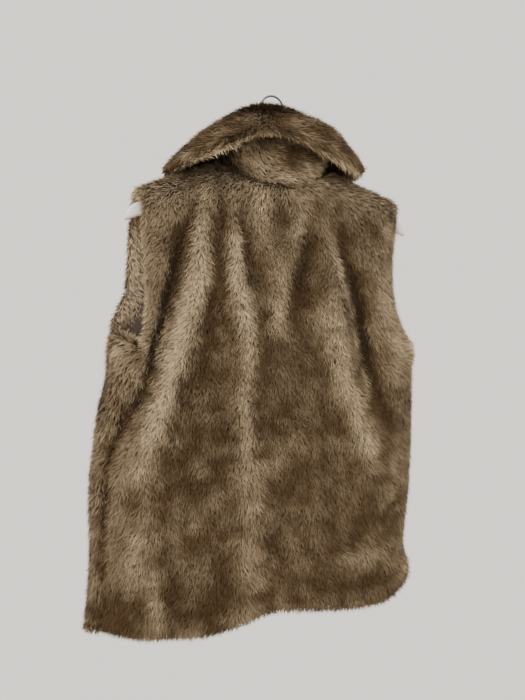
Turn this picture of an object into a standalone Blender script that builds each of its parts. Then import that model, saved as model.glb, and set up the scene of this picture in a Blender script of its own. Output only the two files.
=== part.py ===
# Faux fur vest on a coat hanger, as it hangs with its back to the viewer. Metres, +Z up.
# The origin is the inner top of the hook, where a peg carries it. The back faces -Y and
# the front faces +Y. Each cloth wall is a backing with its pile, as deep as the fur reaches.
import bisect
import functools
import math

import bpy
import numpy as np
from mathutils import Vector

# Cloth
BACKING = 0.002
PILE = 0.011
SEAM_GAP = 0.0003
SEAM_PARTING = 0.0025      # how much lower the pile lies along a seam
EDGE_ROLL = 0.006          # how far the fur rolls past a free edge
EDGE_PARTING = 0.002
LINING = 0.001
LINING_AT_EDGES = 0.0007   # between lining and backing where the two are sewn
LINING_BACK_DROP = 0.010   # how far the lining hangs inside the backing
LINING_FRONT_DROP = 0.010
LINING_SEAM_SHARE = 0.35   # the share of that which it has along the side seams
LINING_CLEARANCE = 0.0025  # and how far it stays inside the deepest fold near it
LINING_INSET = 0.005       # the lining stops this short of armholes and hem
LINING_INSET_HEIGHT = 0.05 # above the underarm, where it has the whole inset
LINING_EASE = 0.045        # length over which it leaves the backing
LINING_BELOW_NECK = 0.2    # the share of the first row by which it starts below the neckline

# Body, from the cut
NECK_HALF = 0.088
SHOULDER_HALF = 0.197
NECK_POINT_Z = -0.121
SHOULDER_TIP_Z = -0.156
NECK_BACK_Z = -0.145
NECK_FRONT_Z = -0.224
NECK_SHARE = NECK_HALF / SHOULDER_HALF
SHOULDER_SLOPE = math.atan2(NECK_POINT_Z - SHOULDER_TIP_Z, SHOULDER_HALF - NECK_HALF)
ARCH_RISE = 0.045          # height of the curve over the hanger
NECK_BEND_POWER = 2.6      # how late the neckline turns up over the shoulder
NECK_LEAST_BEND = 0.12     # the share of that turn which it has at centre back and front
ARM_CURVE_Z = -0.275       # where the armhole starts to turn towards the side seam
UNDERARM_Z = -0.377
ARM_CURVE_POWER = 0.62     # 0.5 gives a quarter of an ellipse, more a curve with a steeper foot
ARM_PASSED_Z = -0.520      # below this the columns are evenly spaced again
EDGE_FOLLOW = 5
SQUARENESS = 2.8           # exponent of the body's rounded section
QUARTER_STEPS = 61

SECTION_COLUMNS = ("z", "sway", "half_width", "back_depth", "front_depth")
SECTIONS = (
    (-0.100, 0.000, 0.218, 0.042, 0.034),
    (-0.200, -0.002, 0.222, 0.045, 0.036),
    (-0.300, -0.003, 0.228, 0.050, 0.039),
    (-0.388, -0.005, 0.232, 0.052, 0.040),
    (-0.500, -0.014, 0.242, 0.048, 0.037),
    (-0.600, -0.019, 0.244, 0.044, 0.034),
    (-0.660, -0.020, 0.241, 0.041, 0.032),
    (-0.710, -0.018, 0.245, 0.040, 0.031),
    (-0.790, -0.019, 0.249, 0.040, 0.031),
)

# Half width between the armhole edges
ARMHOLE_COLUMNS = ("z", "back_left", "back_right", "front_left", "front_right")
ARMHOLES = (
    (-0.150, 0.197, 0.197, 0.197, 0.197),
    (-0.185, 0.196, 0.190, 0.201, 0.201),
    (-0.220, 0.193, 0.184, 0.203, 0.204),
    (-0.300, 0.187, 0.181, 0.203, 0.207),
)

# How far the side seams lie towards the back from the middle of the side, and how deep
# they sink into the fur
SEAM_COLUMNS = ("z", "left_shift", "right_shift", "left_sink", "right_sink")
SIDE_SEAMS = (
    (-0.380, 0.058, 0.002, 0.002, 0.001),
    (-0.430, 0.051, 0.002, 0.004, 0.001),
    (-0.470, 0.049, 0.002, 0.008, 0.001),
    (-0.520, 0.036, 0.002, 0.009, 0.001),
    (-0.580, 0.029, 0.002, 0.008, 0.001),
    (-0.650, 0.027, 0.002, 0.006, 0.001),
    (-0.790, 0.028, 0.002, 0.004, 0.001),
)
SEAM_SINK_WIDTH = 0.014

# Height of the hem, by the share of the way from the middle of a panel to its side
HEM_COLUMNS = ("share", "back_left", "back_right", "front_left", "front_right")
HEMS = (
    (0.00, -0.755, -0.755, -0.764, -0.764),
    (0.12, -0.765, -0.753, -0.765, -0.764),
    (0.28, -0.778, -0.756, -0.766, -0.763),
    (0.60, -0.781, -0.758, -0.768, -0.760),
    (0.80, -0.777, -0.749, -0.769, -0.745),
    (0.92, -0.771, -0.725, -0.768, -0.722),
    (1.00, -0.767, -0.695, -0.767, -0.695),
)

# Folds of the back. "along" is the distance from centre back round the panel,
# positive to +X; "left" and "right" are the fold's widths to either side of its line.
FOLD_COLUMNS = ("z", "along", "height", "left", "right")
BACK_FOLDS = {
    "left crease": (
        (-0.150, -0.112, 0.000, 0.016, 0.010),
        (-0.196, -0.131, -0.008, 0.018, 0.010),
        (-0.253, -0.146, -0.013, 0.022, 0.010),
        (-0.320, -0.160, -0.015, 0.022, 0.010),
        (-0.393, -0.175, -0.015, 0.020, 0.011),
        (-0.440, -0.186, -0.013, 0.018, 0.011),
        (-0.490, -0.204, -0.006, 0.016, 0.012),
        (-0.530, -0.222, 0.000, 0.014, 0.012),
    ),
    "left ridge": (
        (-0.140, -0.100, 0.002, 0.016, 0.016),
        (-0.212, -0.114, 0.006, 0.016, 0.016),
        (-0.252, -0.119, 0.008, 0.016, 0.018),
        (-0.320, -0.131, 0.010, 0.018, 0.020),
        (-0.393, -0.150, 0.011, 0.016, 0.022),
        (-0.450, -0.163, 0.009, 0.018, 0.024),
        (-0.521, -0.172, 0.007, 0.024, 0.026),
        (-0.640, -0.176, 0.005, 0.026, 0.028),
        (-0.790, -0.182, 0.004, 0.026, 0.028),
    ),
    "left valley": (
        (-0.150, -0.086, 0.000, 0.012, 0.012),
        (-0.210, -0.090, -0.005, 0.012, 0.012),
        (-0.319, -0.099, -0.006, 0.014, 0.014),
        (-0.370, -0.107, -0.004, 0.014, 0.014),
        (-0.450, -0.118, 0.000, 0.016, 0.016),
    ),
    "middle ridge": (
        (-0.140, -0.074, 0.001, 0.014, 0.012),
        (-0.205, -0.070, 0.004, 0.014, 0.012),
        (-0.250, -0.067, 0.006, 0.016, 0.014),
        (-0.310, -0.058, 0.007, 0.018, 0.016),
        (-0.370, -0.047, 0.005, 0.018, 0.018),
        (-0.460, -0.044, 0.006, 0.022, 0.022),
        (-0.560, -0.026, 0.005, 0.024, 0.020),
        (-0.790, -0.030, 0.005, 0.024, 0.018),
    ),
    "middle valley": (
        (-0.160, -0.062, 0.000, 0.010, 0.010),
        (-0.200, -0.056, -0.004, 0.010, 0.012),
        (-0.270, -0.042, -0.005, 0.012, 0.014),
        (-0.330, -0.034, -0.003, 0.014, 0.014),
        (-0.400, -0.016, 0.000, 0.016, 0.016),
    ),
    "neck ridge": (
        (-0.150, 0.032, 0.001, 0.014, 0.012),
        (-0.200, 0.026, 0.005, 0.014, 0.012),
        (-0.250, 0.010, 0.005, 0.016, 0.014),
        (-0.310, -0.004, 0.004, 0.018, 0.014),
        (-0.380, -0.006, 0.000, 0.018, 0.016),
    ),
    "right valley": (
        (-0.190, 0.046, 0.000, 0.012, 0.012),
        (-0.230, 0.040, -0.006, 0.012, 0.014),
        (-0.290, 0.030, -0.007, 0.012, 0.014),
        (-0.340, 0.026, -0.004, 0.014, 0.014),
        (-0.430, 0.040, 0.000, 0.016, 0.016),
    ),
    "right ridge": (
        (-0.170, 0.060, 0.001, 0.016, 0.016),
        (-0.225, 0.068, 0.006, 0.018, 0.014),
        (-0.273, 0.084, 0.007, 0.020, 0.014),
        (-0.320, 0.092, 0.009, 0.022, 0.016),
        (-0.383, 0.104, 0.008, 0.022, 0.018),
        (-0.440, 0.116, 0.007, 0.022, 0.020),
        (-0.520, 0.152, 0.006, 0.026, 0.024),
        (-0.600, 0.176, 0.002, 0.030, 0.026),
    ),
    "right crease": (
        (-0.180, 0.092, 0.000, 0.012, 0.018),
        (-0.225, 0.100, -0.007, 0.012, 0.020),
        (-0.276, 0.114, -0.010, 0.012, 0.018),
        (-0.345, 0.126, -0.012, 0.012, 0.016),
        (-0.395, 0.138, -0.012, 0.014, 0.016),
        (-0.443, 0.164, -0.009, 0.016, 0.016),
        (-0.490, 0.194, -0.004, 0.018, 0.018),
        (-0.530, 0.210, 0.000, 0.020, 0.020),
    ),
    "right edge": (
        (-0.180, 0.160, 0.001, 0.022, 0.016),
        (-0.280, 0.160, 0.006, 0.020, 0.016),
        (-0.360, 0.176, 0.008, 0.020, 0.020),
        (-0.440, 0.202, 0.005, 0.022, 0.024),
        (-0.520, 0.218, 0.000, 0.024, 0.024),
    ),
}

# Folds of a front panel, by the distance from centre front. Both fronts take them.
FRONT_FOLDS = {
    "chest ridge": (
        (-0.190, 0.142, 0.001, 0.026, 0.022),
        (-0.300, 0.138, 0.006, 0.028, 0.022),
        (-0.480, 0.112, 0.006, 0.030, 0.026),
        (-0.780, 0.096, 0.005, 0.030, 0.026),
    ),
    "chest valley": (
        (-0.250, 0.094, 0.000, 0.018, 0.018),
        (-0.380, 0.086, -0.005, 0.018, 0.018),
        (-0.600, 0.060, -0.004, 0.020, 0.020),
        (-0.780, 0.055, 0.000, 0.020, 0.020),
    ),
    "side valley": (
        (-0.400, 0.190, 0.000, 0.020, 0.020),
        (-0.520, 0.176, -0.005, 0.020, 0.020),
        (-0.700, 0.160, -0.003, 0.020, 0.020),
        (-0.780, 0.158, 0.000, 0.020, 0.020),
    ),
}
FOLD_FADE = 0.028           # folds die out over this length before a panel's edge

# The hem curls out, over a groove that is deepest at the lower right corner
HEM_CURL = 0.004
HEM_CURL_HEIGHT = 0.014
GROOVE_HEIGHT = 0.030
GROOVE_WIDTH = 0.013
GROOVE_COLUMNS = ("along", "depth")
HEM_GROOVE = ((-0.26, 0.001), (0.02, 0.001), (0.11, 0.003), (0.17, 0.008), (0.235, 0.007))

# Grid of the panels
BACK_SHOULDER_COLUMNS = 11
BACK_NECK_COLUMNS = 14
FRONT_NECK_COLUMNS = 6
FRONT_SHOULDER_COLUMNS = 9
ARCH_ROWS = 5
UPPER_ROWS = 9
UPPER_ROW_POWER = 1.5      # rows draw closer towards the curve of the armhole
LOWER_ROWS = 13

# Collar: a stand, a roll and a fall, swept round the neckline. "station" is 0 at centre
# back, 1 where neck and shoulder meet and 2 at centre front, and negative on the left.
UNDER_PILE = 0.0100
UPPER_PILE = 0.0120
UPPER_AT_SEAM = 0.0018
UNDER_AT_SEAM = 0.0050
FOOT_RADIUS = 0.0130
ROLL_RADIUS = 0.0142
FALL_DROOP = math.radians(6.0)
COLLAR_COLUMNS = ("station", "lean", "stand", "fall_lean", "fall", "spread")
COLLAR = (
    (-2.0, 6.0, 0.040, 12.0, 0.050, 0.45),
    (-1.4, 14.0, 0.029, 54.0, 0.050, 0.05),
    (-1.0, 18.0, 0.027, 50.0, 0.062, 0.00),
    (-0.7, 10.0, 0.054, 34.0, 0.038, 0.00),
    (-0.4, 6.0, 0.079, 18.0, 0.017, 0.00),
    (0.0, 4.0, 0.083, 14.0, 0.018, 0.00),
    (0.4, 6.0, 0.067, 18.0, 0.026, 0.00),
    (0.7, 10.0, 0.045, 34.0, 0.038, 0.00),
    (1.0, 18.0, 0.022, 48.0, 0.041, 0.00),
    (1.4, 14.0, 0.026, 52.0, 0.043, 0.05),
    (2.0, 6.0, 0.040, 12.0, 0.050, 0.45),
)
FOOT_STEPS = 3
STAND_STEPS = 3
ROLL_STEPS = 6
FALL_STEPS = 3

# Hanger
HANGER_HALF = 0.2225
HANGER_HEIGHT = 0.021
HANGER_THICKNESS = 0.0125
HANGER_ROUNDING = 0.0045
HANGER_APEX_Z = -0.1022
HANGER_SLOPE = 0.279
HANGER_BOW = 0.258
HANGER_END = 0.017
HANGER_END_HEIGHT = 0.005
HANGER_STATIONS = 16
CORNER_STEPS = 3
WIRE_RADIUS = 0.0016
HOOK_RADIUS = 0.0172
HOOK_SHANK_TOP = -0.050
HOOK_POINT_ANGLE = -20.0
WIRE_SIDES = 10

FUR_COLOUR = (0.124, 0.085, 0.050)
COLLAR_COLOUR = (0.160, 0.115, 0.072)
LINING_COLOUR = (0.100, 0.078, 0.062)
PAINT_COLOUR = (0.780, 0.770, 0.740)
STEEL_COLOUR = (0.230, 0.230, 0.225)


def clear_scene():
    for item in list(bpy.data.objects):
        bpy.data.objects.remove(item)


def make_material(name, colour, roughness, metallic):
    material = bpy.data.materials.new(name)
    material.use_nodes = True
    shader = material.node_tree.nodes["Principled BSDF"]
    shader.inputs["Base Color"].default_value = (*colour, 1.0)
    shader.inputs["Roughness"].default_value = roughness
    shader.inputs["Metallic"].default_value = metallic
    material.diffuse_color = (*colour, 1.0)
    return material


@functools.lru_cache(maxsize=None)
def table_column(rows, columns, name):
    # The keys, values and slopes of one column of a table whose first column is the key
    table = np.array(sorted(rows))
    keys = table[:, 0]
    values = table[:, columns.index(name)]
    slopes = np.gradient(values, keys)
    return keys.tolist(), values.tolist(), slopes.tolist()


@functools.lru_cache(maxsize=None)
def smooth_value(rows, columns, name, at):
    # A cubic curve through the rows of a table
    keys, values, slopes = table_column(rows, columns, name)
    at = min(max(at, keys[0]), keys[-1])
    k = min(bisect.bisect_right(keys, at) - 1, len(keys) - 2)
    step = keys[k + 1] - keys[k]
    t = (at - keys[k]) / step
    return (
        values[k] * (2 * t**3 - 3 * t**2 + 1)
        + values[k + 1] * (3 * t**2 - 2 * t**3)
        + slopes[k] * step * (t**3 - 2 * t**2 + t)
        + slopes[k + 1] * step * (t**3 - t**2)
    )


def ease(value):
    value = min(max(value, 0.0), 1.0)
    return value * value * (3.0 - 2.0 * value)


def section(z, name):
    return smooth_value(SECTIONS, SECTION_COLUMNS, name, z)


@functools.lru_cache(maxsize=None)
def quarter(half_width, depth):
    # One quarter of the rounded section, from the middle of a panel to the side
    turn = np.linspace(0.0, math.pi / 2, QUARTER_STEPS)
    x = half_width * np.sin(turn) ** (2.0 / SQUARENESS)
    y = depth * np.abs(np.cos(turn)) ** (2.0 / SQUARENESS)
    length = np.concatenate(([0.0], np.cumsum(np.hypot(np.diff(x), np.diff(y)))))
    return x, y, length


def quarter_length(z, front):
    depth = section(z, "front_depth" if front else "back_depth")
    return quarter(section(z, "half_width"), depth)[2][-1]


def ring_point(z, side, front, along):
    # The point at a distance from the middle of the back or front, and its outward normal
    half_width = section(z, "half_width")
    if along > quarter_length(z, front):
        along = quarter_length(z, True) + quarter_length(z, False) - along
        front = not front
    depth = section(z, "front_depth" if front else "back_depth")
    x, y, length = quarter(half_width, depth)
    px = float(np.interp(along, length, x))
    py = float(np.interp(along, length, y))
    facing = 1.0 if front else -1.0
    power = SQUARENESS - 1.0
    across = side * (px / half_width) ** power / half_width
    outwards = facing * (py / depth) ** power / depth
    normal = Vector((across, outwards, 0.0)).normalized()
    return Vector((section(z, "sway") + side * px, facing * py, z)), normal


def side_shift(z, side):
    name = "left_shift" if side < 0 else "right_shift"
    return smooth_value(SIDE_SEAMS, SEAM_COLUMNS, name, z)


def seam_length(z, side, front):
    shift = side_shift(z, side)
    return quarter_length(z, front) + (shift if front else -shift)


def armhole_length(z, side, front):
    name = ("front" if front else "back") + ("_left" if side < 0 else "_right")
    half = smooth_value(ARMHOLES, ARMHOLE_COLUMNS, name, z)
    depth = section(z, "front_depth" if front else "back_depth")
    x, _, length = quarter(section(z, "half_width"), depth)
    return float(np.interp(half, x, length))


@functools.lru_cache(maxsize=None)
def edge_length(z, side, front):
    # From the middle of a panel to its armhole edge, or below that to its side seam
    seam = seam_length(z, side, front)
    if z <= UNDERARM_Z:
        return seam
    straight = armhole_length(z, side, front)
    turn = min(max((ARM_CURVE_Z - z) / (ARM_CURVE_Z - UNDERARM_Z), 0.0), 1.0)
    return straight + (seam - straight) * (1.0 - (1.0 - turn * turn) ** ARM_CURVE_POWER)


@functools.lru_cache(maxsize=None)
def column_length(share, z, side, front, inset=0.0):
    # From the middle of a panel to one of its columns: inner columns pass the armhole's
    # curve smoothly, and only the outer ones follow it
    straight = armhole_length(z, side, front)
    passed = ease((ARM_CURVE_Z - z) / (ARM_CURVE_Z - ARM_PASSED_Z))
    even = straight + (seam_length(z, side, front) - straight) * passed
    edge = edge_length(z, side, front) - inset
    return even * share + (edge - even) * share**EDGE_FOLLOW


def hem_height(share, side, front):
    name = ("front" if front else "back") + ("_left" if side < 0 else "_right")
    return smooth_value(HEMS, HEM_COLUMNS, name, share)


def shoulder_height(x):
    return NECK_POINT_Z - (x - NECK_HALF) * math.tan(SHOULDER_SLOPE)


def column_top(share, front):
    # Where a column starts: how far over the shoulder it bends, and where that bend begins
    if share >= NECK_SHARE:
        return math.pi / 2, shoulder_height(share * SHOULDER_HALF) - ARCH_RISE
    late = (share / NECK_SHARE) ** NECK_BEND_POWER
    bend = math.pi / 2 * (NECK_LEAST_BEND + (1.0 - NECK_LEAST_BEND) * late)
    middle = NECK_FRONT_Z if front else NECK_BACK_Z
    return bend, middle + (NECK_POINT_Z - ARCH_RISE - middle) * math.sin(bend)


def arch_point(share, side, front, bend, foot_z):
    foot, foot_normal = ring_point(foot_z, side, front, column_length(share, foot_z, side, front))
    depth = abs(foot.y)
    across = foot.x + (side * share * SHOULDER_HALF - foot.x) * math.sin(bend) ** 2
    point = Vector((across, foot.y * math.cos(bend), foot_z + ARCH_RISE * math.sin(bend)))
    lean = side * SHOULDER_SLOPE * min(share / NECK_SHARE, 1.0)
    up = Vector((math.sin(lean), 0.0, math.cos(lean)))
    normal = foot_normal * (math.cos(bend) / depth) + up * (math.sin(bend) / ARCH_RISE)
    return point, normal.normalized()


def column_levels(share, side, front, hem_inset):
    # Every level down a column, as (how far it bends over the shoulder, height)
    bend, foot = column_top(share, front)
    hem = hem_height(share, side, front) + hem_inset
    levels = [(bend * (1.0 - k / ARCH_ROWS), foot) for k in range(ARCH_ROWS)]
    for k in range(UPPER_ROWS + 1):
        part = 1.0 - (1.0 - k / UPPER_ROWS) ** UPPER_ROW_POWER
        levels.append((0.0, foot + (UNDERARM_Z - foot) * part))
    for k in range(1, LOWER_ROWS + 1):
        levels.append((0.0, UNDERARM_Z + (hem - UNDERARM_Z) * k / LOWER_ROWS))
    return levels


def bump(distance, left, right):
    width = left if distance < 0.0 else right
    return math.exp(-((distance / width) ** 2))


def fold_height(folds, z, along):
    height = 0.0
    for rows in folds.values():
        line = smooth_value(rows, FOLD_COLUMNS, "along", z)
        left = smooth_value(rows, FOLD_COLUMNS, "left", z)
        right = smooth_value(rows, FOLD_COLUMNS, "right", z)
        height += smooth_value(rows, FOLD_COLUMNS, "height", z) * bump(along - line, left, right)
    return height


def drape(share, side, front, z):
    # How far the cloth stands out from its smooth body: folds, sunken seams and the hem
    along = column_length(share, z, side, front)
    to_edge = edge_length(z, side, front) - along
    if front:
        height = fold_height(FRONT_FOLDS, z, along) * ease(along / FOLD_FADE)
    else:
        height = fold_height(BACK_FOLDS, z, side * along)
    height *= ease((seam_length(z, side, front) - along) / FOLD_FADE)
    if z < UNDERARM_Z:
        name = "left_sink" if side < 0 else "right_sink"
        sink = smooth_value(SIDE_SEAMS, SEAM_COLUMNS, name, z)
        sink *= ease((UNDERARM_Z - z) / (2.0 * SEAM_SINK_WIDTH))
        height -= sink * math.exp(-((to_edge / SEAM_SINK_WIDTH) ** 2))
    above = z - hem_height(share, side, front)
    reach = side * (edge_length(z, side, False) - to_edge if front else along)
    depth = smooth_value(HEM_GROOVE, GROOVE_COLUMNS, "depth", reach)
    height -= depth * math.exp(-(((above - GROOVE_HEIGHT) / GROOVE_WIDTH) ** 2))
    height += HEM_CURL * math.exp(-((above / HEM_CURL_HEIGHT) ** 2))
    return height


def column_shares(shoulder_columns, neck_columns):
    turns = [math.sin(math.pi / 2 * k / neck_columns) for k in range(neck_columns + 1)]
    neck = [NECK_SHARE * (k / neck_columns + turn) / 2 for k, turn in enumerate(turns)]
    shoulder = [
        NECK_SHARE + (1.0 - NECK_SHARE) * k / shoulder_columns
        for k in range(1, shoulder_columns + 1)
    ]
    return neck + shoulder


def panel_columns(front):
    # The columns of the back run from -X to +X; those of a front from the middle to its side
    if front:
        return column_shares(FRONT_SHOULDER_COLUMNS, FRONT_NECK_COLUMNS)
    half = column_shares(BACK_SHOULDER_COLUMNS, BACK_NECK_COLUMNS // 2)
    return [-share for share in reversed(half[1:])] + half


def panel_grid(side, front, inset=0.0):
    # Points, normals and drape of a panel, row by row
    points, normals, drapes = [], [], []
    for signed in panel_columns(front):
        share = abs(signed)
        hand = side if front or signed == 0.0 else math.copysign(1.0, signed)
        column = []
        for bend, z in column_levels(share, hand, front, inset):
            if bend > 0.0:
                point, normal = arch_point(share, hand, front, bend, z)
            else:
                drawn_in = inset * ease((z - UNDERARM_Z) / LINING_INSET_HEIGHT)
                length = column_length(share, z, hand, front, drawn_in)
                point, normal = ring_point(z, hand, front, length)
            column.append((point, normal, drape(share, hand, front, z) * math.cos(bend) ** 2))
        points.append([entry[0] for entry in column])
        normals.append([entry[1] for entry in column])
        drapes.append([entry[2] for entry in column])
    return (
        np.array(points).transpose(1, 0, 2),
        np.array(normals).transpose(1, 0, 2),
        np.array(drapes).transpose(1, 0)[..., None],
    )


def unit(vectors):
    return vectors / np.linalg.norm(vectors, axis=-1, keepdims=True)


def square_off(directions, line, normals):
    # Directions in the surface, square to the edge that the points of a line follow
    tangents = unit(np.gradient(line, axis=0))
    flat = directions - tangents * np.sum(directions * tangents, axis=-1, keepdims=True)
    flat -= normals * np.sum(flat * normals, axis=-1, keepdims=True)
    return unit(flat)


def underarm_row():
    return ARCH_ROWS + UPPER_ROWS


def edge_moves(points, normals, front):
    # How the rim's middle is pushed out at free edges, and how seams draw back
    push = np.zeros_like(points)
    shift = np.zeros_like(points)
    arm = underarm_row()
    for column, inner in ((0, 1), (-1, -2)):
        if front and column == 0:
            shift[:, 0] = np.array((np.sign(points[-1, -1, 0]), 0.0, 0.0)) * SEAM_GAP / 2
            continue
        outward = points[:, column] - points[:, inner]
        free = square_off(outward[: arm + 1], points[: arm + 1, column], normals[: arm + 1, column])
        free[-1] = (0.0, 0.0, 1.0)
        free[0, 1] = 0.0
        push[: arm + 1, column] = unit(free) * EDGE_ROLL
        seam = outward[arm:] * (1.0, 1.0, 0.0)
        seam -= normals[arm:, column] * np.sum(seam * normals[arm:, column], axis=-1, keepdims=True)
        shift[arm:, column] = -unit(seam) * SEAM_GAP / 2
    hem = square_off(points[-1] - points[-2], points[-1], normals[-1])
    hem[0] = (0.0, 0.0, -1.0)
    hem[-1] = (0.0, 0.0, -1.0)
    push[-1] = hem * EDGE_ROLL
    shares = np.abs(np.array(panel_columns(front)))
    shoulder = shares > NECK_SHARE - 1e-6
    shift[0, shoulder, 1] += (1.0 if front else -1.0) * SEAM_GAP / 2
    return push, shift


def pile_depth(points, front):
    # The pile parts at seams and rolls over at free edges
    depth = np.full(points.shape[:2] + (1,), PILE)
    arm = underarm_row()
    depth[0] -= SEAM_PARTING
    for column in (0, -1):
        depth[arm:, column] -= SEAM_PARTING
        if not (front and column == 0):
            depth[1:arm, column] -= EDGE_PARTING
    if front:
        depth[1:arm, 0] -= SEAM_PARTING
    depth[-1] -= EDGE_PARTING
    return depth


def border_of(rows, columns):
    top = [(0, c) for c in range(columns)]
    right = [(r, columns - 1) for r in range(1, rows)]
    bottom = [(rows - 1, c) for c in range(columns - 2, -1, -1)]
    left = [(r, 0) for r in range(rows - 2, 0, -1)]
    return top + right + bottom + left


def make_wall(name, outer, inner, push, material):
    # A closed wall between two grids, with a rounded rim where push is given
    rows, columns = outer.shape[:2]
    size = rows * columns
    border = border_of(rows, columns)
    points = [outer.reshape(-1, 3), inner.reshape(-1, 3)]
    if push is not None:
        middle = [(outer[r, c] + inner[r, c]) / 2 + push[r, c] for r, c in border]
        points.append(np.array(middle))
    faces = []
    for r in range(rows - 1):
        for c in range(columns - 1):
            first = r * columns + c
            below = first + columns
            for triangle in ((first, first + 1, below + 1), (first, below + 1, below)):
                faces.append(triangle)
                faces.append(tuple(index + size for index in reversed(triangle)))
    points = np.concatenate(points)
    for k, (r, c) in enumerate(border):
        following = (k + 1) % len(border)
        this_outer = r * columns + c
        next_outer = border[following][0] * columns + border[following][1]
        this_rim = [this_outer, this_outer + size]
        next_rim = [next_outer, next_outer + size]
        if push is not None:
            this_rim.insert(1, 2 * size + k)
            next_rim.insert(1, 2 * size + following)
        for a, b, d, e in zip(this_rim, this_rim[1:], next_rim, next_rim[1:]):
            faces.extend(split_rim(points, a, b, d, e))
    return make_object(name, points, faces, material)


def split_rim(points, a, b, d, e):
    # Two triangles, cut from the upper outer corner, so that both sides of a seam match
    if points[a][2] >= points[d][2]:
        return [(a, b, e), (a, e, d)]
    return [(a, b, d), (b, e, d)]


def make_object(name, points, faces, material):
    mesh = bpy.data.meshes.new(name)
    mesh.from_pydata([tuple(point) for point in points], [], faces)
    mesh.validate()
    mesh.materials.append(material)
    item = bpy.data.objects.new(name, mesh)
    bpy.context.scene.collection.objects.link(item)
    face_outwards(item)
    return item


def face_outwards(item):
    # Turn every face if the mesh encloses a negative volume
    mesh = item.data
    mesh.calc_loop_triangles()
    volume = 0.0
    for triangle in mesh.loop_triangles:
        a, b, c = (mesh.vertices[index].co for index in triangle.vertices)
        volume += a.dot(b.cross(c))
    if volume < 0.0:
        mesh.flip_normals()


def make_panel(name, side, front, material):
    points, normals, drapes = panel_grid(side, front)
    push, shift = edge_moves(points, normals, front)
    outer = points + shift + normals * (drapes + pile_depth(points, front))
    inner = points + shift + normals * (drapes - BACKING)
    return make_wall(name, outer, inner, push, material)


def lining_drop(drapes, front):
    # How far the lining hangs inside the backing: clear of the folds round each point, and
    # straight down from where it is sewn or carried
    shares = np.abs(np.array(panel_columns(front)))
    full = LINING_FRONT_DROP if front else LINING_BACK_DROP
    arm = underarm_row()
    rows, columns = drapes.shape[:2]
    drop = np.zeros((rows, columns, 1))
    for r in range(rows):
        from_top = ease((r - 1) / (ARCH_ROWS + 3))
        from_hem = ease((rows - 1 - r) / 2.0)
        for c in range(columns):
            sewn = c in (0, columns - 1) and (r >= arm or front and c == 0)
            wide = 0 if sewn else 2
            tall = 1 if r > 1 else 0
            near = drapes[r - tall: r + tall + 1, max(c - wide, 0): c + wide + 1]
            sideways = ease((1.0 - shares[c]) * SHOULDER_HALF / LINING_EASE)
            if r > arm:
                sideways = max(sideways, LINING_SEAM_SHARE)
            clear = LINING_CLEARANCE * from_top * from_hem
            drop[r, c, 0] = max(full * from_top * from_hem * sideways, clear - near.min())
    return drop


def make_lining(name, side, front, material):
    points, normals, drapes = panel_grid(side, front, LINING_INSET)
    _, shift = edge_moves(points, normals, front)
    shares = np.abs(np.array(panel_columns(front)))
    on_neck = shares < NECK_SHARE + 1e-6
    points[0, on_neck] += (points[1, on_neck] - points[0, on_neck]) * LINING_BELOW_NECK
    depth = BACKING + LINING_AT_EDGES + lining_drop(drapes, front)
    outer = points + shift - normals * depth
    inner = outer - normals * LINING
    arm = underarm_row()
    last = len(points) - 1
    rows = [r for r in range(last) if r <= ARCH_ROWS or (r - arm) % 2 == 0 or arm - 4 < r < arm]
    rows.append(last)
    ends = (len(shares) - 3, len(shares) - 1) if front else (0, len(shares) - 1)
    kept = [c for c in range(len(shares)) if c % 2 == 0 or on_neck[c] or c in ends]
    chosen = np.ix_(rows, kept)
    return make_wall(name, outer[chosen], inner[chosen], None, material)


def neckline():
    # The neck edge from one centre front round the back to the other, with its normals
    back_points, back_normals, _ = panel_grid(1.0, False)
    columns = panel_columns(False)
    on_neck = [c for c in range(len(columns)) if abs(columns[c]) < NECK_SHARE + 1e-6]
    points = [back_points[0, c] for c in on_neck]
    normals = [back_normals[0, c] for c in on_neck]
    stations = [columns[c] / NECK_SHARE for c in on_neck]
    fronts = {}
    for side in (-1.0, 1.0):
        grid, grid_normals, _ = panel_grid(side, True)
        shares = panel_columns(True)
        inner = [c for c in range(len(shares)) if shares[c] < NECK_SHARE - 1e-6]
        fronts[side] = [(grid[0, c], grid_normals[0, c], 2.0 - shares[c] / NECK_SHARE) for c in inner]
    for point, normal, station in reversed(fronts[-1.0]):
        points.insert(0, point)
        normals.insert(0, normal)
        stations.insert(0, -station)
    for point, normal, station in reversed(fronts[1.0]):
        points.append(point)
        normals.append(normal)
        stations.append(station)
    return np.array(points), np.array(normals), stations


def collar_value(station, name):
    return smooth_value(COLLAR, COLLAR_COLUMNS, name, station)


def collar_directions(station, start):
    # The direction of each step from the seam to the free edge, as an angle from straight up
    lean = math.radians(collar_value(station, "lean"))
    fall = math.pi - math.radians(collar_value(station, "fall_lean"))
    length = collar_value(station, "fall")
    steps = []
    for k in range(FOOT_STEPS):
        turn = (lean - start) / FOOT_STEPS
        steps.append((start + turn * (k + 0.5), max(FOOT_RADIUS * abs(turn), 0.0012)))
    for _ in range(STAND_STEPS):
        steps.append((lean, collar_value(station, "stand") / STAND_STEPS))
    for k in range(ROLL_STEPS):
        turn = (fall - lean) / ROLL_STEPS
        steps.append((lean + turn * (k + 0.5), 2.0 * ROLL_RADIUS * math.tan(turn / 2.0)))
    for k in range(FALL_STEPS):
        steps.append((fall + FALL_DROOP * k / FALL_STEPS, length / FALL_STEPS))
    return steps


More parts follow.
